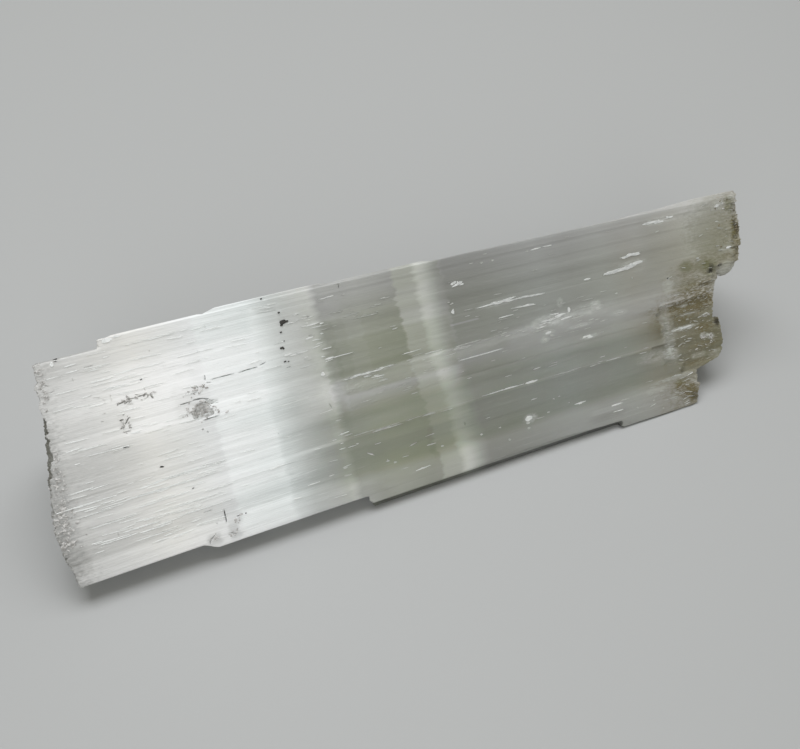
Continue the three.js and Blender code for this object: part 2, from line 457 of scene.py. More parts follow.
def turned(x, y, degrees):
    turn = math.radians(degrees)
    return x * math.cos(turn) - y * math.sin(turn), x * math.sin(turn) + y * math.cos(turn)


def cutCracks(item):
    proto = makeWedge()
    cuts = []
    for along, across, length, width, turn, depth in cracks:
        cut = copyOf(proto, "crack")
        x, y, z = readPoints(cut).T
        x, y = turned(x * length, y * width, turn)
        writePoints(cut, toPlaces(np.stack([x + along, y + across, (z + 0.5) * 2 * depth - depth], 1)))
        cuts.append(cut)
    removeAll(proto)
    cutAway(item, cuts)


def cutAway(item, tools):
    # all the tools are taken out of the item at once
    rack = bpy.data.collections.new("tools")
    for tool in tools:
        rack.objects.link(tool)
    makeActive(item)
    cut = item.modifiers.new("cut", "BOOLEAN")
    cut.operation = "DIFFERENCE"
    cut.solver = "MANIFOLD"
    cut.operand_type = "COLLECTION"
    cut.collection = rack
    bpy.ops.object.modifier_apply(modifier=cut.name)
    removeAll(*tools)
    bpy.data.collections.remove(rack)


def keepLargest(item):
    # bits that a cut has set free are dropped
    editParts(item, "FACE")
    bpy.ops.mesh.separate(type="LOOSE")
    leaveEdit()
    parts = sorted(bpy.context.selected_objects, key=lambda part: len(part.data.vertices))
    removeAll(*parts[:-1])
    parts[-1].name = "seleniteStick"
    return parts[-1]


def cutToTriangles(item):
    # every face a triangle, without the flat flaps that a long narrow face can leave folded on itself
    editParts(item, "FACE")
    bpy.ops.mesh.quads_convert_to_tris(quad_method="BEAUTY", ngon_method="BEAUTY")
    leaveEdit()
    uses = Counter(key for face in item.data.polygons for key in face.edge_keys)
    editParts(item, "FACE", lambda face: sum(uses[key] == 1 for key in face.edge_keys) > 1)
    bpy.ops.mesh.delete(type="FACE")
    leaveEdit()


# How the broken ends crumble.
crumble = {
    "endSize": 1.1,                 # size of the crumbs
    "endDepth": 1.5,                # how far they stand in or out along the fibres
    "endFacing": (0.25, 0.65),      # how squarely a face has to look along the fibres to crumble
    # where the ends are at each height of the face
    "leftEnd": [(4, -5), (15, -7.6), (20, -8), (40, -5.4), (52, -2), (78, -0.3), (79, 22), (82, 22)],
    "rightEnd": [(-5, 248), (9, 250), (11, 260), (15, 264), (29, 265), (33, 263), (50, 268), (53, 280),
                 (82, 283)],
    "rimReach": 9.0,                # how far from the left end the faces are rough as well
    "rightReach": 0.6,              # and how much nearer the right end counts
    "rimSize": 0.9,
    "rimDepth": 0.65,
    "steps": 10,                    # shades of the weights
}


def weighPoints(item, name, weights):
    group = item.vertex_groups.new(name=name)
    steps = crumble["steps"]
    levels = np.round(np.clip(weights, 0, 1) * steps).astype(int)
    for level in range(1, steps + 1):
        chosen = np.nonzero(levels == level)[0].tolist()
        if chosen:
            group.add(chosen, level / steps, "REPLACE")


def pushOut(item, name, size, strength, direction, group):
    texture = bpy.data.textures.new(name, "CLOUDS")
    texture.noise_scale = size * mm
    texture.noise_depth = 2
    push = item.modifiers.new(name, "DISPLACE")
    push.texture = texture
    push.texture_coords = "LOCAL"
    push.direction = direction
    push.strength = strength * mm
    push.vertex_group = group
    applyAll(item)


def crumbleEnds(item):
    normals = np.zeros(len(item.data.vertices) * 3)
    item.data.vertices.foreach_get("normal", normals)
    facing = np.abs(normals.reshape(-1, 3)[:, 0])
    along, across, _ = readPoints(item).T / mm
    least, most = crumble["endFacing"]
    weighPoints(item, "broken", (facing - least) / (most - least))
    pushOut(item, "brokenEnds", crumble["endSize"], crumble["endDepth"], "X", "broken")
    fromLeft = along - lineThrough(across, crumble["leftEnd"])
    fromRight = lineThrough(across, crumble["rightEnd"]) - along
    rim = 1 - np.minimum(fromLeft, fromRight * crumble["rightReach"]) / crumble["rimReach"]
    weighPoints(item, "rim", rim)
    pushOut(item, "roughRim", crumble["rimSize"], crumble["rimDepth"], "NORMAL", "rim")
    item.vertex_groups.clear()


def trimUnderside(item):
    # everything below the table's surface is taken off
    low, high = cadBox
    size = 2 * (high - low).x
    depth = body["trimDepth"] * mm
    deselectAll()
    bpy.ops.mesh.primitive_cube_add(size=1, location=(0, 0, -depth / 2))
    block = bpy.context.object
    block.scale = (size, size, depth)
    bpy.ops.object.transform_apply(location=True, scale=True)
    cutAway(item, [block])


def makeBody():
    rng = random.Random(body["seed"])
    proto = makeFibre()
    laid = []
    for bundle in bundles:
        laid += layFront(rng, proto, bundle)
        laid += layBehind(rng, proto, bundle)
    for low, high, left, right, front, back in splinters:
        laid.append(layFibre(proto, low - body["edgeLap"], high, left, right, front, back))
    laid += layKeel(proto)
    laid.append(makeLobe())
    print("stage:", len(laid), "fibres are laid")
    stick = joinAll(laid, "seleniteStick")
    removeAll(proto)
    remesh = stick.modifiers.new("grown together", "REMESH")
    remesh.mode = "VOXEL"
    remesh.voxel_size = body["voxel"] * mm
    remesh.use_smooth_shade = True
    applyAll(stick)
    print("stage: the fibres are grown together")
    points = readPoints(stick)
    points[:, 0] *= body["squash"]
    writePoints(stick, points)
    crumbleEnds(stick)
    bendAndPlace(stick)
    thin = stick.modifiers.new("thinned", "DECIMATE")
    thin.ratio = min(1, body["triangles"] / (2 * len(stick.data.polygons)))
    applyAll(stick)
    print("stage: the stick is crumbled, bent, placed and thinned")
    trimUnderside(stick)
    cutCracks(stick)
    stick = keepLargest(stick)
    cutToTriangles(stick)
    makeActive(stick)
    bpy.ops.object.shade_smooth_by_angle(angle=math.radians(body["sharp"]))
    return stick


class Wire:
    # a node's output that can be written into a formula

    def __init__(self, tree, socket=None):
        self.tree, self.socket = tree, socket

    def add(self, kind, settings=None, values=None, output=0):
        node = self.tree.nodes.new(kind)
        for name, value in (settings or {}).items():
            if name == "stops":
                self.setStops(node.color_ramp, value)
            else:
                setattr(node, name, value)
        for name, value in (values or {}).items():
            if isinstance(value, Wire):
                self.tree.links.new(value.socket, node.inputs[name])
            else:
                node.inputs[name].default_value = value
        if output is None:
            return [Wire(self.tree, socket) for socket in node.outputs]
        return Wire(self.tree, node.outputs[output]) if node.outputs else node

    def setStops(self, ramp, stops):
        while len(ramp.elements) < len(stops):
            ramp.elements.new(0.5)
        for element, (place, colour) in zip(ramp.elements, stops):
            element.position, element.color = place, (*colour, 1)

    def calc(self, operation, *others):
        return self.add("ShaderNodeMath", {"operation": operation}, dict(enumerate((self, *others))))

    def __neg__(self):
        return self.calc("MULTIPLY", -1)

    def __add__(self, other):
        return self.calc("ADD", other)

    def __sub__(self, other):
        return self.calc("SUBTRACT", other)

    def __mul__(self, other):
        return self.calc("MULTIPLY", other)

    def __truediv__(self, other):
        return self.calc("DIVIDE", other)

    def __rsub__(self, other):
        return self.add("ShaderNodeMath", {"operation": "SUBTRACT"}, {0: other, 1: self})

    __radd__, __rmul__ = __add__, __mul__

    def clamp(self, low, high):
        return self.calc("MAXIMUM", low).calc("MINIMUM", high)

    def ramp(self, start, stop, before=0, after=1):
        # smooth between start and stop, level outside them
        values = {"Value": self, "From Min": start, "From Max": stop, "To Min": before, "To Max": after}
        return self.add("ShaderNodeMapRange", {"interpolation_type": "SMOOTHSTEP"}, values)

    def within(self, low, high, edge):
        rising = self.ramp(low - edge / 2, low + edge / 2)
        return rising * self.ramp(high - edge / 2, high + edge / 2, 1, 0)

    def vectorFade(self, start, stop):
        # the same for each direction of a point, from 0 to 1
        settings = {"data_type": "FLOAT_VECTOR", "interpolation_type": "SMOOTHSTEP"}
        return self.add("ShaderNodeMapRange", settings, {6: self, 7: start, 8: stop}, 1)

    def vector(self, operation, *others, output=0):
        values = dict(enumerate((self, *others)))
        return self.add("ShaderNodeVectorMath", {"operation": operation}, values, output)

    def over(self, below, above):
        # colour "above" laid over colour "below" where this mask is 1
        below, above = (part if isinstance(part, Wire) else (*part, 1) for part in (below, above))
        return self.add("ShaderNodeMix", {"data_type": "RGBA"}, {0: self, 6: below, 7: above}, 2)


def newFinish(name):
    material = bpy.data.materials.new(name)
    material.use_nodes = True
    material.node_tree.nodes.clear()
    return material, Wire(material.node_tree)


# Finish of the crystal. Places are in millimetres along the fibres and across the face.
crystal = {
    # colour from the left end to the right, darker towards the left end; the bright left part, brightest
    # from 55.5 to 74, and the band from 140.6 to 143 are partly the milk's own zoning and partly painted
    # satin sheen
    "bandsAndSheen": [
        (-9, (0.355, 0.355, 0.34)),
        (1, (0.635, 0.635, 0.615)),
        (12, (0.7, 0.7, 0.68)),
        (32, (0.885, 0.88, 0.845)),
        (54, (0.895, 0.91, 0.905)),
        (55.5, (0.94, 0.97, 0.96)),
        (74, (0.87, 0.91, 0.9)),
        (84, (0.595, 0.62, 0.6)),
        (92, (0.515, 0.53, 0.5)),
        (98, (0.475, 0.5, 0.43)),
        (101, (0.292, 0.308, 0.25)),
        (116, (0.308, 0.325, 0.24)),
        (130.7, (0.258, 0.275, 0.193)),
        (131.6, (0.358, 0.374, 0.29)),
        (138.6, (0.358, 0.375, 0.294)),
        (140.6, (0.475, 0.508, 0.415)),
        (143, (0.46, 0.485, 0.41)),
        (148, (0.29, 0.305, 0.254)),
        (151.6, (0.219, 0.227, 0.188)),
        (164, (0.228, 0.238, 0.196)),
        (190, (0.285, 0.302, 0.272)),
        (204, (0.275, 0.285, 0.25)),
        (218, (0.305, 0.32, 0.275)),
        (230, (0.315, 0.31, 0.255)),
        (238, (0.33, 0.33, 0.28)),
        (252, (0.37, 0.362, 0.292)),
        (268, (0.44, 0.438, 0.345)),
        (291, (0.375, 0.35, 0.245)),
    ],
    "edgeWander": 5.5,              # how far the bands' edges stray along the fibres
    # how far the bands in the middle are set over at each height
    "shift": [(0, 3), (12, 2.4), (30, 2), (38, 0.6), (50, 0), (82, 0)],
    # how light each height of the face is, at the left and from the middle on; at the left, 49 to 69 across
    # is raised as a painted broad highlight
    "leftRows": [
        (0, 0.8), (3, 0.92), (6, 0.92), (10, 0.95), (14, 0.745), (20, 0.985), (26, 0.94), (30, 0.96),
        (37, 0.925), (42, 0.86), (46, 0.94), (49, 1.09), (54, 1.01), (58, 1.07), (64, 1.11), (69, 1.07),
        (74, 0.93), (80, 0.9),
    ],
    "rightRows": [
        (0, 1.16), (7, 1.18), (11, 0.72), (16, 0.55), (24, 0.51), (25, 0.8), (31, 0.6), (35.5, 1.1),
        (41, 1.52), (46, 1.4), (52, 1.2), (60, 1.23), (68, 1.37), (79, 1.61),
    ],
    # flat zones bounded by cleavage, and painted highlight and shade lines among them: from, to, low, high,
    # softness along and across, change of lightness
    "zones": [
        (22.5, 50, 59.8, 69, 2.5, 0.8, 0.06), (24, 42, 47.5, 59.6, 2.5, 1.2, 0.08),
        (3, 26, 25, 45.5, 9, 3, -0.06), (54.6, 75, 9, 45, 0.7, 2.5, 0.03), (56, 75, 30, 53, 5, 4, 0.06),
        (75.4, 97, -9, 35, 3, 3, -0.08), (76, 97, 35, 49, 4, 3, 0.03),
        (98, 104.4, 34.4, 45.4, 0.9, 0.7, 0.12), (95.4, 98.8, 19, 58, 0.7, 2, 0.05),
        (98.8, 104.6, 46, 69, 1, 0.8, -0.05), (109, 115.7, 46.4, 69.4, 1, 0.7, 0.06),
        (99, 107, -5, 24, 6, 3, 0.14), (99, 108, 69, 84, 6, 2, 0.1), (99, 108, 34, 47, 6, 2, 0.03),
        (100, 150, 20, 24, 2, 2, 0.22), (103, 150, 28, 40, 3, 2, 0.14),
        (103, 131, 34.6, 40, 1.2, 0.8, 0.06), (103, 150, 40, 60, 3, 2, -0.16),
        (99, 131, 46.4, 50, 1, 1.6, -0.08), (108, 131, 69.6, 83, 5, 0.8, 0.05),
        (104, 131, -2, 9, 2, 3, -0.02), (131.4, 151, 50, 66, 1, 3, 0.13), (104, 131, 50, 60, 2, 2, 0.04),
        (131, 141, 7, 20, 1, 4, -0.12), (131, 150, 74, 83, 1, 4, -0.12), (144, 151.5, -4, 8, 3, 8, 0.05),
        # (84, 238, 24, 25.1) is a painted highlight along the ledge at 24 to 25 across, where light catches
        # the step
        (84, 238, 24, 25.1, 24, 0.6, 0.3), (100, 186, 45.7, 46.9, 12, 0.8, 0.12),
        (56, 104, 40.7, 41.3, 9, 0.5, -0.03), (149.6, 169, 41.1, 41.7, 1, 0.4, 0.28),
        (149.6, 162, 55.1, 55.8, 1, 0.4, 0.34), (98, 112, 34.2, 34.9, 4, 0.4, 0.06),
        (200, 214, 3.6, 5.6, 5, 0.6, 0.16), (200, 214.5, 0.2, 3.2, 6, 0.6, -0.1),
        (41.2, 46.2, 2.4, 6.6, 2, 2, -0.22), (49.6, 53.4, 2.4, 7.6, 1.6, 2, -0.2),
        # (104, 213, -9, -2) and (213, 249, -9, -4.9) are painted shade on the lower face under the edge,
        # standing in for the contact shadow
        (50, 55.6, 7.4, 11.4, 0.8, 1, -0.07), (104, 213, -9, -2, 1, 0.4, -0.78),
        # (240, 264, 39.4, 42) is painted light that lifts the shadow under the step there
        (213, 249, -9, -4.9, 1, 0.4, -0.75), (240, 264, 39.4, 42, 1.5, 0.8, 0.45),
        (144, 172, 41.5, 48, 6, 2, -0.09), (238, 257, 57, 80, 8, 5, -0.09), (232, 258, 16, 24, 6, 3, 0.18),
        (75, 86, 71, 80, 3, 3, 0.1), (-9, 1, 8, 17, 3, 2, -0.1), (-9, 0, 49, 57, 3, 2, -0.12),
    ],
    # pale clouds under the surface: along, across, half length, half width, strength
    "clouds": [
        (191, 47.2, 10, 2.6, 0.5), (189.4, 42.8, 2.4, 1.2, 0.45), (187, 40.3, 2.2, 1.4, 0.4),
        (196.6, 53.4, 1.5, 2.1, 0.36), (247, 77.2, 8, 1.5, 0.42), (206.5, 36.6, 4.4, 1, 0.4),
        (174, 11, 3.2, 1.8, 0.4), (171, 59.4, 9, 1.2, 0.25), (231, 62, 6, 1.7, 0.3),
        (207, 47.8, 8, 2.6, 0.32), (211.5, 49, 2.4, 2.4, 0.34), (203, 42, 6, 0.9, 0.4),
        (221, 43, 4, 1.2, 0.3), (245.5, 48.6, 3, 4.4, 0.26), (241.8, 29.5, 3.6, 10, 0.32),
        (234, 20.6, 9, 3, 0.22), (242, 19.5, 4, 3.4, 0.32), (258.4, 23.2, 2.4, 1.5, 0.5),
        (261.2, 22, 2, 1.6, 0.46), (249, 28.9, 7, 1, 0.55), (260.6, 32, 3, 0.8, 0.4),
        (251.6, 38.4, 1.8, 0.8, 0.34), (253, 34.6, 5, 0.8, 0.24), (275, 78.4, 3.4, 2.2, 0.34),
        (276, 58.6, 5, 2, 0.24), (240, 9, 11, 0.9, 0.3), (231, 6.2, 6, 1.2, 0.22),
        (239, 0.6, 3, 1.8, 0.18), (282, 81, 2, 1.2, 0.3), (275, 49.6, 5.5, 3.5, 0.4),
        (262, 14, 4, 2, 0.2), (254, 15.5, 4, 1.4, 0.26), (248, 5, 3, 0.8, 0.26),
    ],
    # darker stains in the right end
    "browns": [
        (236.4, 32, 4, 6.5, 0.3), (242, 39.6, 14, 1.9, 0.2), (249, 35.6, 7, 5, 0.42),
        (259, 38, 8, 3.6, 0.5), (258, 44, 9, 5, 0.22), (259, 26.6, 5, 2.4, 0.55),
        (257, 19.4, 7, 1.6, 0.26), (248, 22.5, 5, 5, 0.1), (243, 3, 5, 4.5, 0.25),
        (244, 5.6, 6, 1.6, 0.16), (247, 0.6, 3, 4.6, 0.5), (281.6, 68, 2.4, 5, 0.55),
        (280.6, 61, 2.4, 7, 0.4), (251, 13, 6, 1.6, 0.25), (232, 23.9, 9, 0.7, 0.3),
        (237, 14.4, 1, 2.2, 0.24),
    ],
    "mosses": [
        (255, 55, 3.6, 2.8, 0.7), (280.4, 78, 2.8, 4.4, 0.55), (252, 47, 9, 3, 0.2),
        (262, 54, 4, 2.4, 0.4), (243, 6.6, 3, 1.2, 0.3), (270, 68, 13, 15, 0.4),
        (266, 52, 4, 4, 0.5),
    ],
    "darks": [
        (267, 51.6, 1.3, 2.6, 0.7), (281.8, 68, 1.4, 3, 0.8), (265.4, 28, 1.3, 2.8, 0.95),
        (271.2, 52.2, 1, 0.8, 0.8), (248, -1.4, 2.4, 2, 0.5), (265.6, 50.6, 1.8, 1, 0.8),
    ],
    # where the clay begins at each height, and how much of it there is
    "stainFrom": [
        (-6, 236), (8, 236), (12, 243), (20, 247), (26, 240), (40, 238), (47, 246), (56, 250), (60, 266),
        (82, 272),
    ],
    "stainDepth": [
        (-6, 0.42), (10, 0.34), (14, 0.3), (28, 0.34), (38, 0.48), (44, 0.44), (56, 0.4), (60, 0.26),
        (82, 0.32),
    ],
    "clay": (0.150, 0.125, 0.058),
    "darkClay": (0.035, 0.03, 0.017),
    "moss": (0.155, 0.155, 0.062),
    # painted shade on the layers broken away behind the left end, and the dark of the pits
    "recessDark": (0.13, 0.128, 0.105),
    "white": (0.92, 0.94, 0.92),
    "cloud": (0.72, 0.74, 0.71),
    # patterns of the stone: scale along, across and in depth, then detail, roughness and start
    "patterns": {
        "wander": ((0.02, 0.45, 0.3), 3.0, 0.5, 0.0),
        "broad": ((0.010, 0.16, 0.12), 2.0, 0.5, 7.0),
        "silk": ((0.03, 1.6, 1.3), 3.0, 0.6, 0.0),
        "grooves": ((0.012, 3.0, 2.4), 2.0, 0.6, 3.0),
        "hair": ((0.10, 2.9, 2.4), 2.0, 0.6, 83.0),
        "fray": ((0.16, 2.1, 1.8), 3.0, 0.6, 31.0),
        "mottle": ((0.42, 0.60, 0.5), 4.0, 0.65, 57.0),
        "speck": ((0.55, 1.5, 1.3), 3.0, 0.65, 19.0),
        "patches": ((0.045, 0.11, 0.1), 2.0, 0.5, 11.0),
    },
    # masks: what each is read off, from and to where it changes, and its value before and after
    "masks": {
        "beyond": ("along", 80, 104, 0, 1),             # the clearer right part
        "leftness": ("along", 60, 118, 1, 0),           # the rougher left part
        "setOver": ("along", 118, 134, 0, 1),
        "frayed": ("patches", 0.38, 0.60, 0.3, 1),
        "darkHair": ("hair", 0.60, 0.76, 0, 0.24),
        "whiteThread": ("fray", 0.56, 0.76, 0, 1),
        "fleck": ("fray", 0.54, 0.68, 0, 0.30),
        "fleckFrom": ("along", 236, 250, 0, 1),
        "fleckBelow": ("across", 40, 60, 1, 0),
        "edgePale": ("across", 0, 12, 0.6, 1),          # the lower edge has less colour
        # painted shade on what is broken away behind the left end, weaker deeper in
        "brokenAway": ("depth", 0.6, 1.2, 0, 1),
        "deepDirt": ("depth", 6, 18, 0.95, 0.38),
        "dirtTo": ("along", 0, 4, 1, 0),
        "pitsTo": ("along", 92, 100, 1, 0),
        "pitDirt": ("mottle", 0.40, 0.60, 0.06, 0.61),
        "stainPatch": ("mottle", 0.35, 0.65, 0, 0.5),
        "stainSpeck": ("speck", 0.36, 0.62, 0.27, 1.37),
        "cloudStreak": ("fray", 0.38, 0.60, 0, 0.6),
        "cloudSpeck": ("speck", 0.40, 0.62, 0.28, 0.78),
        "veil": ("speck", 0.58, 0.70, 0, 0.30),
        "veilFrom": ("along", 236, 252, 0, 1),
        "veilBelow": ("across", 38, 60, 1, 0),
        "milkBelow": ("across", 4, 34, 0.4, 1),         # the dark foot of the face is less clear
        "clearBehind": ("depth", 2.6, 6, 0, 0.30),
        "crumbledFrom": ("along", 238, 262, 0, 1),
    },
    "silkTone": (0.07, 0.36),       # uneven tones of the fibres, at the right and at the left
    "broadTone": 0.10,
    "threadCover": (0.05, 0.55),    # at the right and at the left
    "vividGain": 1.3,               # darker places have more colour, lighter ones less
    "vividLimits": (0.15, 1.5),
    # the crumbling rim at the left: where it ends, how raggedly, and what darkens it
    "rimEnd": (-4, 7),
    "rimRagged": 12,
    "rimDark": (-0.09, {"fray": 1.1, "mottle": -0.8}),
    "shadeHeights": (38, 69, 5),     # low, high and softness
    "pitHeights": (6, 79, 3),
    "pitDepths": (0.6, 2.3, 0.3),
    # how ragged the edges of spots and stains are
    "spotEdge": (-1.9, {"fray": 1.6, "mottle": 2.2}),
    "stainEdge": (-15, {"mottle": 14, "silk": 16}),
    "stainSoft": (-9, 9),
    # what the stone is made of
    "milkiness": 0.35,
    "milkDepth": 0.004,
    "ior": 1.52,
    "clearColour": (0.94, 0.955, 0.93, 1),
    "absorption": (0.82, 0.84, 0.78, 1),
    "absorbing": 6.0,
    "clearness": (0.06, 0.30),      # at the left and at the right
    "dulled": 0.7,                  # how far stains and clouds take the clearness away
    "milkRough": (0.32, 0.5),
    "stainRough": 0.2,
    "clearRough": 0.22,
    # the bump's relief
    "bumpStrength": 0.35,
    "bumpDistance": 0.0002,
    "grooveRelief": (0.6, 1.0),     # at the right and at the left
    "frayRelief": (0.2, 1.2),
    "crumbRelief": 1.6,
}


def readStickPlace(tree):
    # where a point lies along, across and in depth, worked out from its own coordinates
    place = Wire(tree).add("ShaderNodeTexCoord", output=3)

    def measure(axis):
        values = {0: place, 1: tuple(axis / mm)}
        dot = Wire(tree).add("ShaderNodeVectorMath", {"operation": "DOT_PRODUCT"}, values, "Value")
        return dot - origin.dot(axis) / mm

    along, level, outward = (measure(axis) for axis in axes)
    reach = (along - lie["middle"]) / 100
    turn = (lie["spreadHigh"] - lie["spreadLow"]) / lie["faceWidth"]
    across = (level - reach * lie["spreadLow"] + reach * reach * lie["bow"]) / (reach * turn + 1)
    return along, across, -outward


def grain(tree, place, scales, detail, roughness, seedAt=0.0):
    # noise stretched by its own scale in each direction
    along, across, depth = (part * scale for part, scale in zip(place, scales))
    vector = Wire(tree).add("ShaderNodeCombineXYZ", None, {0: along + seedAt, 1: across, 2: depth})
    values = {"Vector": vector, "Scale": 1.0, "Detail": detail, "Roughness": roughness}
    return Wire(tree).add("ShaderNodeTexNoise", None, values)


def colourLine(value, points):
    # a colour read off a line through the points
    first, span = points[0][0], points[-1][0] - points[0][0]
    stops = [((low - first) / span, colour) for low, colour in points]
    return value.add("ShaderNodeValToRGB", {"stops": stops}, {"Fac": (value - first) / span})


def profile(value, points):
    # a height read off a line through the points
    lows, highs = zip(*points)
    least, most = min(highs), max(highs)
    greys = [(low, ((high - least) / (most - least),) * 3) for low, high in points]
    return colourLine(value, greys) * (most - least) + least


def flatPoint(along, across):
    return along.add("ShaderNodeCombineXYZ", None, {0: along, 1: across})


def zoneMask(point, zone):
    start, stop, low, high, softAlong, softAcross = zone[:6]
    x, y = softAlong / 2, softAcross / 2
    rising = point.vectorFade((start - x, low - y, -1), (start + x, low + y, 0))
    falling = point.vectorFade((stop + x, high + y, 1), (stop - x, high - y, 0))
    both = rising.vector("MULTIPLY", falling)
    sides = both.add("ShaderNodeSeparateXYZ", None, {0: both}, None)
    return sides[0] * sides[1]


spotReach = 1.5         # a spot fades out at the root of this many half lengths


def blots(point, ragged, spots):
    # ragged spots: along, across, half length, half width, strength
    whole = 0
    for at, height, length, width, strength in spots:
        near = point.vector("MULTIPLY_ADD", (1 / length, 1 / width, 0), (-at / length, -height / width, 0))
        reach = near.vector("DOT_PRODUCT", near, output="Value") + ragged
        whole = reach.ramp(spotReach, 0, 0, strength) + whole
    return whole.calc("MINIMUM", 1)


class Stone:
    # the crystal's finish in the making, with its places, patterns and masks by name

    def __init__(self, name):
        self.material, self.board = newFinish(name)
        tree = self.board.tree
        place = readStickPlace(tree)
        self.along, self.across, self.depth = place
        for pattern, values in crystal["patterns"].items():
            setattr(self, pattern, grain(tree, place, *values))
        for mask, (source, *values) in crystal["masks"].items():
            setattr(self, mask, getattr(self, source).ramp(*values))
        ragged = self.along + (self.mottle - 0.5) * crystal["rimRagged"]
        self.rim = ragged.ramp(*crystal["rimEnd"], 1, 0)

    def mixed(self, level, shares):
        # patterns added up by their shares, above a level
        for name, share in shares.items():
            level = getattr(self, name) * share + level
        return level


def bandColour(stone):
    # the bands that cross the stick, partly the milk's own zoning and partly painted satin sheen, each
    # fibre a little out of line with the next
    jitter = (stone.wander - 0.5) * crystal["edgeWander"]
    setOver = profile(stone.across, crystal["shift"]) * stone.setOver
    colour = colourLine(stone.along - setOver + jitter, crystal["bandsAndSheen"])
    left, right = (profile(stone.across, crystal[side]) for side in ("leftRows", "rightRows"))
    change = 1
    point = flatPoint(stone.along + jitter, stone.across)
    for zone in crystal["zones"]:
        change = zoneMask(point, zone).calc("MULTIPLY_ADD", zone[6], change)
    light = blend(left, right, stone.beyond) * change

    # fine streaks of the fibres, rougher towards the left
    frayed = stone.leftness * stone.frayed
    streaks = (stone.silk - 0.5) * blend(*crystal["silkTone"], stone.leftness)
    streaks = streaks + (stone.broad - 0.5) * crystal["broadTone"]
    flecks = stone.fleck * stone.fleckFrom * stone.fleckBelow
    tone = light * (streaks - stone.darkHair * frayed - flecks + 1)
    vivid = ((1 - light) * crystal["vividGain"] + 1).clamp(*crystal["vividLimits"]) * stone.edgePale
    values = {"Color": colour, "Saturation": vivid, "Value": tone}
    colour = stone.board.add("ShaderNodeHueSaturation", None, values)
    return (stone.whiteThread * blend(*crystal["threadCover"], frayed)).over(colour, crystal["white"])


def crumbledColour(stone, colour):
    # the crumbling rim at the left, painted shade on what is broken away behind it, and darker pits
    light = 1 - stone.mixed(*crystal["rimDark"]) * stone.rim
    colour = stone.board.add("ShaderNodeVectorMath", {"operation": "SCALE"}, {0: colour, "Scale": light})
    recessDark = stone.brokenAway * stone.deepDirt * stone.dirtTo * stone.across.within(*crystal["shadeHeights"])
    colour = recessDark.over(colour, crystal["recessDark"])
    pit = stone.depth.within(*crystal["pitDepths"]) * stone.pitsTo * stone.pitDirt
    return (pit * stone.across.within(*crystal["pitHeights"])).over(colour, crystal["recessDark"])


def makeCrystal():
    stone = Stone("fibrousSelenite")
    colour = crumbledColour(stone, bandColour(stone))

    # clay and moss in the right end, and pale clouds over them
    point = flatPoint(stone.along, stone.across)
    ragged = stone.mixed(*crystal["spotEdge"])
    spots = {name: blots(point, ragged, crystal[name]) for name in ("browns", "mosses", "darks", "clouds")}
    stainAt = stone.along - profile(stone.across, crystal["stainFrom"]) + stone.mixed(*crystal["stainEdge"])
    stain = stainAt.ramp(*crystal["stainSoft"]) * profile(stone.across, crystal["stainDepth"])
    stain = ((stain + spots["browns"]) * (stone.stainPatch + stone.stainSpeck)).calc("MINIMUM", 1)
    cloud = spots["clouds"] * (stone.cloudStreak + stone.cloudSpeck)
    cloud = cloud + stone.veil * stone.veilFrom * stone.veilBelow
    colour = stain.over(colour, crystal["clay"])
    colour = spots["mosses"].over(colour, crystal["moss"])
    colour = spots["darks"].over(colour, crystal["darkClay"])
    colour = (cloud * (1 - spots["darks"])).over(colour, crystal["cloud"])

    # milk and clear glass, mixed by how clear the stone is
    clear = blend(*crystal["clearness"], stone.beyond) * stone.milkBelow + stone.clearBehind
    clear = clear * (1 - stain * crystal["dulled"]) * (1 - cloud * crystal["dulled"])
    rough = blend(*crystal["milkRough"], stone.silk) + stain * crystal["stainRough"]
    height = (stone.grooves + stone.silk) * blend(*crystal["grooveRelief"], stone.leftness)
    height = height + stone.fray * blend(*crystal["frayRelief"], stone.leftness)
    height = height + stone.mottle * (stone.crumbledFrom + stone.rim) * crystal["crumbRelief"]
    board = stone.board
    bump = board.add("ShaderNodeBump", None, {
        "Strength": crystal["bumpStrength"], "Distance": crystal["bumpDistance"], "Height": height})
    milk = board.add("ShaderNodeBsdfPrincipled", None, {
        "Base Color": colour, "Roughness": rough, "IOR": crystal["ior"],
        "Subsurface Weight": crystal["milkiness"], "Subsurface Radius": (1, 1, 1),
        "Subsurface Scale": crystal["milkDepth"], "Normal": bump})
    glass = board.add("ShaderNodeBsdfPrincipled", None, {
        "Base Color": crystal["clearColour"], "Roughness": crystal["clearRough"], "IOR": crystal["ior"],
        "Transmission Weight": 1.0, "Normal": bump})
    mixed = board.add("ShaderNodeMixShader", None, {0: clear, 1: milk, 2: glass})
    inside = board.add("ShaderNodeVolumeAbsorption", None, {
        "Color": crystal["absorption"], "Density": crystal["absorbing"]})
    board.add("ShaderNodeOutputMaterial", None, {"Surface": mixed, "Volume": inside})
    return stone.material


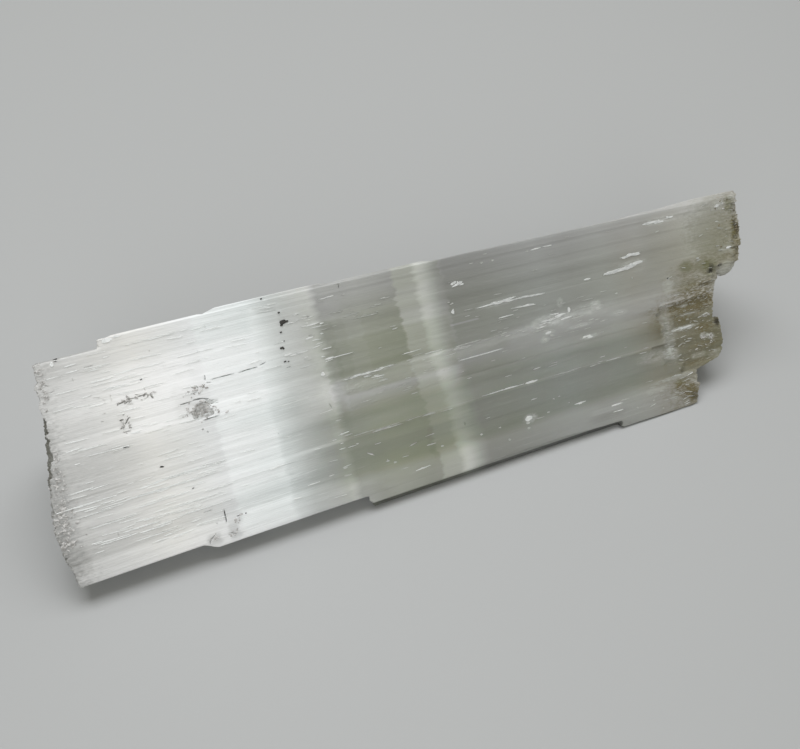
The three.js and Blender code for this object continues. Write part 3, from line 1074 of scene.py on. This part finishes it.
# White scuffs where fibres have lifted: along, across, length, width, turn in degrees.
scuffs = [
    (156, 70.4, 4.6, 1.5, 14), (154.6, 71.2, 2.6, 0.9, 20), (157.6, 70, 2, 1.1, 6),
    (151.8, 60.4, 1.2, 2.8, -8), (152, 63.6, 1.6, 0.7, 10), (151, 64.4, 0.9, 0.6, 0),
    (168.5, 59.6, 14, 0.9, 1), (180, 59.2, 20, 0.6, -1), (174, 60, 9, 0.8, 3),
    (187, 58.8, 8, 0.4, -3), (181, 55.6, 10, 0.6, -4), (173, 53.5, 6, 0.4, 0),
    (225, 60.5, 15, 1.1, 2), (231, 61.4, 9, 1.6, 3), (233.4, 62, 5, 1.3, -2),
    (221.5, 60.2, 8, 0.7, 0), (231, 65.6, 9, 1, 3), (233, 65.5, 5, 0.9, -8),
    (229, 65.2, 4, 0.6, 6), (210.2, 60, 2.8, 0.7, 0), (243, 77.1, 7.5, 0.8, 1),
    (246.5, 76.8, 4.4, 1.2, -4), (251.6, 77.7, 3.6, 1.3, 6), (240.6, 77.2, 3, 0.5, 0),
    (245, 72.8, 2, 0.4, 8), (221, 43, 3.8, 0.5, -2), (221.6, 51.2, 1.2, 0.9, 0),
    (229.8, 56, 0.5, 1.8, 8), (206.3, 36.4, 2.4, 0.9, -6), (205, 37, 3.4, 0.5, 8),
    (189, 42.6, 2.6, 0.8, 8), (187, 40.2, 1.6, 0.8, 20), (190.4, 41.2, 1.8, 0.6, -16),
    (202, 41.7, 4, 0.4, 0), (197, 53, 0.9, 1.6, 6), (199.7, 49.6, 1.2, 1.9, -12),
    (191, 47.6, 9, 0.9, 2), (188, 46.6, 6, 0.7, -2), (195.5, 48.4, 5, 0.8, 4),
    (186.5, 45.6, 4.5, 0.5, 2), (193, 49.4, 4, 0.5, -3), (198, 46.6, 4.6, 0.5, 4),
    (167.5, 76.5, 1.3, 0.7, 0), (172.2, 76.3, 1.3, 0.7, 12), (191, 77, 4.6, 0.5, 3),
    (196, 77.1, 4, 0.6, -2), (187, 76.8, 1.4, 0.5, 0), (159, 41.3, 18, 0.35, 0),
    (177.6, 25.1, 5.6, 0.8, 0), (165, 25.2, 18, 0.35, 0), (173.3, 11, 3, 1.9, 10),
    (172.6, 9.4, 1.6, 1, -12), (172.5, 7.2, 1.3, 0.7, 0), (182, 11, 1.2, 0.5, 0),
    (196.4, 10.8, 5, 0.5, 0), (185.2, 15.8, 1, 0.5, 0), (160.5, 11, 1.1, 0.6, 0),
    (152.5, 10.6, 1, 0.7, 0), (136, 11, 1.2, 0.5, 0), (163.5, 5.1, 1.1, 0.6, 0),
    (96.8, 50.2, 1.6, 2.4, 12), (98, 49.2, 1.6, 0.6, 0), (96.4, 72, 1.6, 0.9, 12),
    (97.6, 68.8, 5, 0.4, 3), (98.4, 67.6, 4, 0.5, 0), (95.2, 64.3, 3.4, 0.5, 8),
    (96.2, 65.2, 2.4, 0.4, 0), (100.8, 55.3, 3.4, 0.6, 2), (106, 55.2, 8, 0.3, 0),
    (104.4, 77.1, 6.4, 0.6, 2), (102, 76.4, 3, 0.5, -4), (110.2, 80.9, 2.4, 0.6, 0),
    (99.4, 27, 4.4, 0.5, 4), (101, 26, 3, 0.3, 0), (97, 14.5, 1.8, 0.6, 0),
    (97.2, 11.5, 3, 0.5, 0), (107.6, 16.5, 3, 0.4, -34), (113.3, 12, 1.6, 0.9, 0),
    (116.2, 10.6, 1.2, 0.6, 0), (124.4, 15.1, 3.4, 0.35, 12), (126.6, 5.1, 6, 0.4, 3),
    (113, 46.3, 13, 0.5, 0), (120.6, 46.7, 7, 0.4, 1), (106.6, 46.1, 6, 0.3, 0),
    (132, 49.6, 8, 0.3, 2), (141, 47.4, 7, 0.3, 0), (90, 59.9, 7, 0.5, 2),
    (86, 60.4, 3, 0.6, 6), (247, 29, 5.4, 0.9, 1), (251, 29, 4.6, 0.6, 4),
    (244.6, 28.8, 2, 0.6, 0), (250.8, 38.3, 1.8, 0.6, 14), (253.4, 34.5, 5, 0.3, -3),
    (260.4, 32.5, 3, 0.6, 10), (258, 31.8, 2.4, 0.3, 12), (247.6, 8.6, 3, 0.7, 16),
    (244, 8, 3.6, 0.3, 6), (274.6, 78.2, 1.6, 1.2, 10), (277, 78.8, 1.4, 0.8, 0),
    (276.6, 59, 2.6, 0.7, 6), (272.4, 58.6, 2, 0.5, -8), (261, 57.4, 1.6, 1, 0),
    (212, 5.4, 5, 0.5, 0), (216, 6.4, 4, 0.4, -4), (212, 2.6, 4.6, 0.6, 0),
    (221, 1.2, 1, 0.6, 0), (5.6, 77.2, 1.2, 2.2, 0), (25.5, 80.6, 3.4, 1.1, 4),
    (29, 81.1, 3, 0.5, 0), (44, 16.4, 20, 0.3, 0), (12, 15.4, 14, 0.4, 0),
    (25, 15.1, 12, 0.35, 0), (5, 29.9, 20, 0.4, 0), (42, 30.1, 24, 0.35, 0),
    (31, 27.2, 40, 0.32, 0), (7, 26.2, 12, 0.28, 0), (30, 23.6, 20, 0.28, 0),
    (12, 21.6, 18, 0.34, 0), (38, 19.8, 20, 0.28, 0), (20, 17, 14, 0.3, 0),
    (25, 12.8, 16, 0.22, 0), (4, 34.6, 9, 0.3, 2), (2, 33, 7, 0.34, -2),
    (58, 69.4, 4, 0.5, 2), (52, 66.4, 6, 0.3, 2), (24, 65, 8, 0.3, 2),
    (61, 76, 7, 0.4, 1),
]

scuffing = {
    "seed": 5,
    "height": 0.15,
    "sink": 0.10,
    "shapes": 5,
    "corners": 22,
    "inset": 0.16,
    "rough": 0.10,
    "even": 0.8,
    "tapers": (-0.9, -0.5, 0.5, 0.9),
    "mainWidth": 0.8,               # of the long sliver in a scuff, as a share of the scuff's width
    "lesserEach": 4,                # one more lesser sliver for each so much length
    "lesserAlong": 0.34,            # how far they lie from the middle, as shares of length and width
    "lesserAcross": 0.3,
    "lesserLength": (0.15, 0.4),
    "lesserWidth": (0.5, 0.9),
    "lesserTurn": 4,
    "bigScuff": 1.6,                # scuffs of this many square millimetres are white
    "whiteTo": 96,                  # and all of them up to here
    "looseLength": (0.2, 1),        # shares of the longest and the widest
    "looseWidth": (0.5, 1),
    # small scuffs besides those listed: from, to, low, high, count, longest, widest, most turn
    "whiteLoose": [
        (4, 54, 10, 31, 64, 12, 0.25, 3), (4, 54, 31, 44, 14, 8, 0.22, 3), (4, 54, 44, 50, 18, 10, 0.25, 3),
        (4, 54, 50, 62, 12, 8, 0.22, 3), (4, 54, 62, 80, 36, 10, 0.25, 3), (54, 96, 4, 81, 32, 7, 0.26, 4),
        (91, 101, 54, 74, 18, 4, 0.34, 8), (93, 102, 10, 29, 6, 4, 0.24, 8),
        (112, 122, 44, 48, 8, 5, 0.26, 3),
    ],
    "paleLoose": [
        (96, 132, 4, 80, 24, 4, 0.3, 4), (150, 236, 4, 80, 34, 4, 0.26, 4),
        (104, 150, 36, 48, 40, 5, 0.22, 3), (100, 126, 66, 72, 10, 6, 0.26, 3),
        (150, 186, 40, 60, 16, 6, 0.24, 3), (150, 188, 45.6, 47.2, 16, 7, 0.32, 2),
        (184, 215, 24.2, 25.2, 8, 7, 0.26, 1), (104, 150, 23.8, 25, 12, 8, 0.3, 1),
        (184, 215, 36, 54, 26, 6, 0.3, 4), (240, 264, 12, 40, 56, 3, 0.3, 24),
        (228, 249, -4, 10, 26, 4, 0.34, 20), (246, 270, 42, 57, 14, 3, 0.28, 20),
        (264, 282, 56, 80, 14, 3, 0.3, 20),
    ],
}


def makeScuffShapes():
    # ragged flat slivers, one unit long and wide
    shapes = []
    for n in range(scuffing["shapes"]):
        deselectAll()
        bpy.ops.mesh.primitive_cylinder_add(vertices=scuffing["corners"], radius=0.5, depth=1)
        shape = bpy.context.object
        shape.name = "scuffShape"
        editParts(shape, "FACE", lambda face: face.normal.z > 0.5)
        bpy.ops.mesh.inset(thickness=scuffing["inset"])
        roughen(scuffing["rough"], n + 1, scuffing["even"])
        leaveEdit()
        shapes.append(shape)
    return shapes


class Surface:
    # finds the crystal's surface under a point of the broad face

    def __init__(self, item):
        self.tree = BVHTree.FromObject(item, bpy.context.evaluated_depsgraph_get())
        self.inward = -axes[2]
        self.above, self.reach = 8.0, 30 * mm

    def under(self, along, across):
        start = Vector(toPlaces(np.array([[along, across, self.above]]))[0])
        return self.tree.ray_cast(start, self.inward, self.reach)[0]


def layOnFace(surface, proto, along, across, length, width, turn, height, sink, taper=0.0):
    # a copy laid on the surface there, in a list, or nothing where there is no surface
    place = surface.under(along, across)
    if place is None:
        return []
    piece = copyOf(proto, "onFace")
    x, y, z = readPoints(piece).T
    y = y * (1 - taper * (0.5 - x))
    x, y = turned(x * length, y * width, turn)
    flat = toPlaces(np.array([[along, across, 0.0]]))[0]
    points = toPlaces(np.stack([along + x, across + y, (z + 0.5) * (height + sink) - sink], 1))
    writePoints(piece, points + (np.array(place) - flat))
    return [piece]


def makeScuffs(surface):
    rng = random.Random(scuffing["seed"])
    shapes = makeScuffShapes()
    white, pale = [], []

    def lay(pile, along, across, length, width, turn):
        taper = rng.choice(scuffing["tapers"])
        pile += layOnFace(surface, rng.choice(shapes), along, across, length, width, turn,
                          scuffing["height"], scuffing["sink"], taper)

    for along, across, length, width, turn in scuffs:
        # a scuff is one long sliver with lesser ones lying over it
        isWhite = length * width > scuffing["bigScuff"] or along < scuffing["whiteTo"]
        pile = white if isWhite else pale
        lay(pile, along, across, length, width * scuffing["mainWidth"], turn)
        side, rise, lean = scuffing["lesserAlong"], scuffing["lesserAcross"], scuffing["lesserTurn"]
        for n in range(1 + int(length / scuffing["lesserEach"])):
            lay(pile, along + rng.uniform(-side, side) * length, across + rng.uniform(-rise, rise) * width,
                length * rng.uniform(*scuffing["lesserLength"]),
                width * rng.uniform(*scuffing["lesserWidth"]), turn + rng.uniform(-lean, lean))
    for pile, patches in ((white, scuffing["whiteLoose"]), (pale, scuffing["paleLoose"])):
        for start, stop, low, high, count, longest, widest, turn in patches:
            for n in range(count):
                along, across = rng.uniform(start, stop), rng.uniform(low, high)
                length = longest * rng.uniform(*scuffing["looseLength"])
                width = widest * rng.uniform(*scuffing["looseWidth"])
                lay(pile, along, across, length, width, rng.uniform(-turn, turn))
    removeAll(*shapes)
    return joinAll(white, "whiteScuffs"), joinAll(pale, "paleScuffs")


# Dark grains: along, across, length, width.
grains = [
    (86.9, 72.2, 2.2, 1.6), (88.2, 72.1, 1.4, 0.8), (86.2, 71.2, 1, 0.7), (86.3, 75.8, 0.8, 0.6),
    (85.4, 68.8, 0.8, 0.5), (84.3, 63.3, 1.3, 0.8), (84.9, 62.9, 0.7, 0.6), (84.3, 58.3, 0.9, 0.5),
    (85.6, 58, 0.6, 0.4), (81.2, 82, 0.7, 0.5), (32.2, 34.6, 1.4, 0.8), (32.9, 34.3, 0.8, 0.6),
    (22, 44.4, 1.2, 0.5), (41, 24.2, 0.7, 0.4), (21.4, 79.9, 1, 1.3), (7, 78.4, 1.6, 0.6),
    (54.2, 9.9, 1, 0.4), (57, 10, 0.5, 0.4), (33.2, 65.1, 0.8, 0.3), (85.8, 65.5, 0.5, 0.3),
    (270.9, 52.2, 1.2, 0.9), (266.6, 50.8, 1.5, 0.8), (245.8, 52, 1, 0.8),
]


grainTurn, grainHeight, grainSink = 10, 0.22, 0.3


crumbs = {
    "seed": 8,
    "bevel": 0.22,                  # of the shape, as a share of its size
    "rough": 0.09,
    "shapeSeed": 4,
    "clayCount": 70,
    "clayHeights": (-4, 80),
    "clayTo": 284,
    "clayInset": 2,                 # how far inside the stain's edge the clay starts
    "clayCrowd": 0.45,              # below 1 the clay crowds towards the end
    "claySize": (0.2, 0.55),
    "sugarSize": (0.2, 0.6),
    "stretch": (0.9, 2.4),          # length for the width
    "turn": 28,
    "height": 0.40,                 # for the width
    "sink": 0.35,
    # clusters of white crystals: along, across, half length, half width, count
    "sugar": [
        (257.6, 23, 1.8, 1, 12), (261.4, 22, 1.2, 1.6, 14), (256.5, 18, 5, 2.2, 5),
        (261, 31.6, 2.2, 1, 5), (275, 77.6, 3, 1.6, 5), (-4.8, 19, 3.6, 2.2, 70),
        (-3.4, 31, 4, 6, 90), (-4.4, 25, 4, 4, 60), (28.5, 59.4, 8, 1, 30),
        (-3, 38, 3, 5, 40), (1, 70, 2, 6, 30), (0.8, 76, 1.6, 2.4, 16),
        (-1, 46, 1, 7, 20), (50.5, 49.6, 5.4, 3, 110), (53, 8.6, 3, 1.6, 10),
        (44, 5, 2.6, 1.2, 8), (51.4, 4.8, 2.2, 1.6, 10), (51, 56.5, 3.4, 2, 26),
        (24, 52, 2.2, 3, 18),
    ],
}


def makeCrumbShape():
    # a small angular crumb
    deselectAll()
    bpy.ops.mesh.primitive_cube_add(size=1)
    shape = bpy.context.object
    shape.name = "crumbShape"
    editParts(shape, "EDGE")
    bpy.ops.mesh.bevel(offset=crumbs["bevel"], segments=1)
    roughen(crumbs["rough"], crumbs["shapeSeed"])
    leaveEdit()
    return shape


def makeGrains(surface, shape):
    laid = []
    for spot in grains:
        laid += layOnFace(surface, shape, *spot, grainTurn, grainHeight, grainSink)
    return joinAll(laid, "darkGrains")


def scatterCrumb(rng, surface, shape, along, across, size):
    # most lie with the fibres
    length = size * rng.uniform(*crumbs["stretch"])
    return layOnFace(surface, shape, along, across, length, size, rng.gauss(0, crumbs["turn"]),
                     size * crumbs["height"], size * crumbs["sink"])


def makeCrumbs(surface, shape):
    rng = random.Random(crumbs["seed"])
    clay, sugar = [], []
    for n in range(crumbs["clayCount"]):
        across = rng.uniform(*crumbs["clayHeights"])
        start = float(lineThrough(across, crystal["stainFrom"]))
        reach = (crumbs["clayTo"] - start) * rng.random() ** crumbs["clayCrowd"]
        size = rng.uniform(*crumbs["claySize"])
        clay += scatterCrumb(rng, surface, shape, start + crumbs["clayInset"] + reach, across, size)
    for at, height, length, width, count in crumbs["sugar"]:
        for n in range(count):
            along, across = rng.gauss(at, length / 2), rng.gauss(height, width / 2)
            size = rng.uniform(*crumbs["sugarSize"])
            sugar += scatterCrumb(rng, surface, shape, along, across, size)
    return joinAll(clay, "clayCrumbs"), joinAll(sugar, "sugarCrystals")


# Finishes of the small pieces: dull and bright colour, roughness, the pattern's scales along, across
# and in depth, and the bump's strength and distance. Chalky ones let a little light in.
finishes = {
    "scuffWhite": ((0.60, 0.62, 0.60), (0.84, 0.85, 0.83), 0.55, (0.5, 2.0, 2.0), 0.4, 0.0002),
    "scuffPale": ((0.34, 0.345, 0.32), (0.56, 0.57, 0.54), 0.55, (0.5, 2.0, 2.0), 0.4, 0.0002),
    "darkDirt": ((0.012, 0.012, 0.012), (0.04, 0.038, 0.03), 0.6, (0.7, 0.8, 0.8), 0.5, 0.0003),
    "clayDirt": ((0.09, 0.075, 0.04), (0.26, 0.22, 0.14), 0.75, (0.7, 0.8, 0.8), 0.5, 0.0003),
    "sugarWhite": ((0.30, 0.29, 0.27), (0.66, 0.65, 0.63), 0.4, (0.7, 0.8, 0.8), 0.5, 0.0003),
}
speckles = {"detail": 3.0, "roughness": 0.6, "span": (0.35, 0.65)}
chalk = {
    "finishes": ("scuffWhite", "scuffPale"),
    "whiteTo": (56, 96),            # along: whiter at the left, up to here
    "milkiness": 0.25,
    "milkDepth": 0.0008,
}


def makeSmallFinish(name):
    dull, bright, rough, scales, strength, distance = finishes[name]
    material, board = newFinish(name)
    place = readStickPlace(board.tree)
    speckle = grain(board.tree, place, scales, speckles["detail"], speckles["roughness"])
    colour = speckle.ramp(*speckles["span"]).over(dull, bright)
    values = {"Roughness": rough}
    if name in chalk["finishes"]:
        colour = place[0].ramp(*chalk["whiteTo"], 1, 0).over(colour, crystal["white"])
        values.update({"Subsurface Weight": chalk["milkiness"], "Subsurface Radius": (1, 1, 1),
                       "Subsurface Scale": chalk["milkDepth"]})
    bump = {"Strength": strength, "Distance": distance, "Height": speckle}
    values.update({"Base Color": colour, "Normal": board.add("ShaderNodeBump", None, bump)})
    shader = board.add("ShaderNodeBsdfPrincipled", None, values)
    board.add("ShaderNodeOutputMaterial", None, {"Surface": shader})
    return material


def finishPiece(piece, material):
    piece.data.materials.clear()
    piece.data.materials.append(material)
    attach(piece, "root")


stick = makeBody()
finishPiece(stick, makeCrystal())
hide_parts("selenite_stick")
print("stage: the body is made")

surface = Surface(stick)
whiteScuffs, paleScuffs = makeScuffs(surface)
crumbShape = makeCrumbShape()
darkGrains = makeGrains(surface, crumbShape)
clayCrumbs, sugarCrystals = makeCrumbs(surface, crumbShape)
removeAll(crumbShape)
finishPiece(whiteScuffs, makeSmallFinish("scuffWhite"))
finishPiece(paleScuffs, makeSmallFinish("scuffPale"))
finishPiece(darkGrains, makeSmallFinish("darkDirt"))
finishPiece(clayCrumbs, makeSmallFinish("clayDirt"))
finishPiece(sugarCrystals, makeSmallFinish("sugarWhite"))
print("stage: scuffs, grains and crumbs are laid")

# Floor, camera and light, in metres and degrees.
studio = {
    "floorSize": 12,
    "floorGap": 0.0004,             # keeps the floor from sharing a plane with the stick's flat foot
    "floorColour": (0.385, 0.392, 0.385, 1),
    "floorRough": 0.6,
    "lens": 45,
    "sensor": 36,
    "cameraPlace": (-0.103487, -0.242897, 0.31819),
    "cameraTurn": (42.002, 0, -21.174),
    # name, place, the point it looks at, size, power
    "lights": [
        ("overhead", (0.05, 0.48, 1.3), (-0.05, 0, 0), (1.5, 0.9), 18.9),
        ("front", (-0.55, -1.2, 0.85), (-0.05, 0, 0), (1.0, 1.0), 9.4),
    ],
    "lightColour": (0.975, 0.985, 1.03),
    "worldColour": (1.0, 0.975, 0.82, 1),
    "worldStrength": 0.24,
}


def makeFloor():
    deselectAll()
    bpy.ops.mesh.primitive_plane_add(size=studio["floorSize"], location=(0, 0, -studio["floorGap"]))
    floor = bpy.context.object
    floor.name = "floor"
    material = bpy.data.materials.new("paleFloor")
    material.use_nodes = True
    shader = material.node_tree.nodes["Principled BSDF"]
    shader.inputs["Base Color"].default_value = studio["floorColour"]
    shader.inputs["Roughness"].default_value = studio["floorRough"]
    floor.data.materials.append(material)


def makeCamera():
    data = bpy.data.cameras.new("camera")
    data.lens, data.sensor_width = studio["lens"], studio["sensor"]
    camera = bpy.data.objects.new("camera", data)
    camera.location = studio["cameraPlace"]
    camera.rotation_euler = [math.radians(angle) for angle in studio["cameraTurn"]]
    bpy.context.scene.collection.objects.link(camera)
    bpy.context.scene.camera = camera


def makeLight(name, place, aim, size, power):
    data = bpy.data.lights.new(name, "AREA")
    data.shape, data.energy, data.color = "RECTANGLE", power, studio["lightColour"]
    data.size, data.size_y = size
    light = bpy.data.objects.new(name, data)
    light.location = place
    light.rotation_euler = (Vector(aim) - Vector(place)).to_track_quat("-Z", "Y").to_euler()
    bpy.context.scene.collection.objects.link(light)


def makeWorld():
    world = bpy.data.worlds.new("studio")
    world.use_nodes = True
    background = world.node_tree.nodes["Background"]
    background.inputs["Color"].default_value = studio["worldColour"]
    background.inputs["Strength"].default_value = studio["worldStrength"]
    bpy.context.scene.world = world


makeFloor()
makeCamera()
makeWorld()
for light in studio["lights"]:
    makeLight(*light)
bpy.context.scene.view_settings.view_transform = "Standard"
print("stage: floor, camera and lights are set")
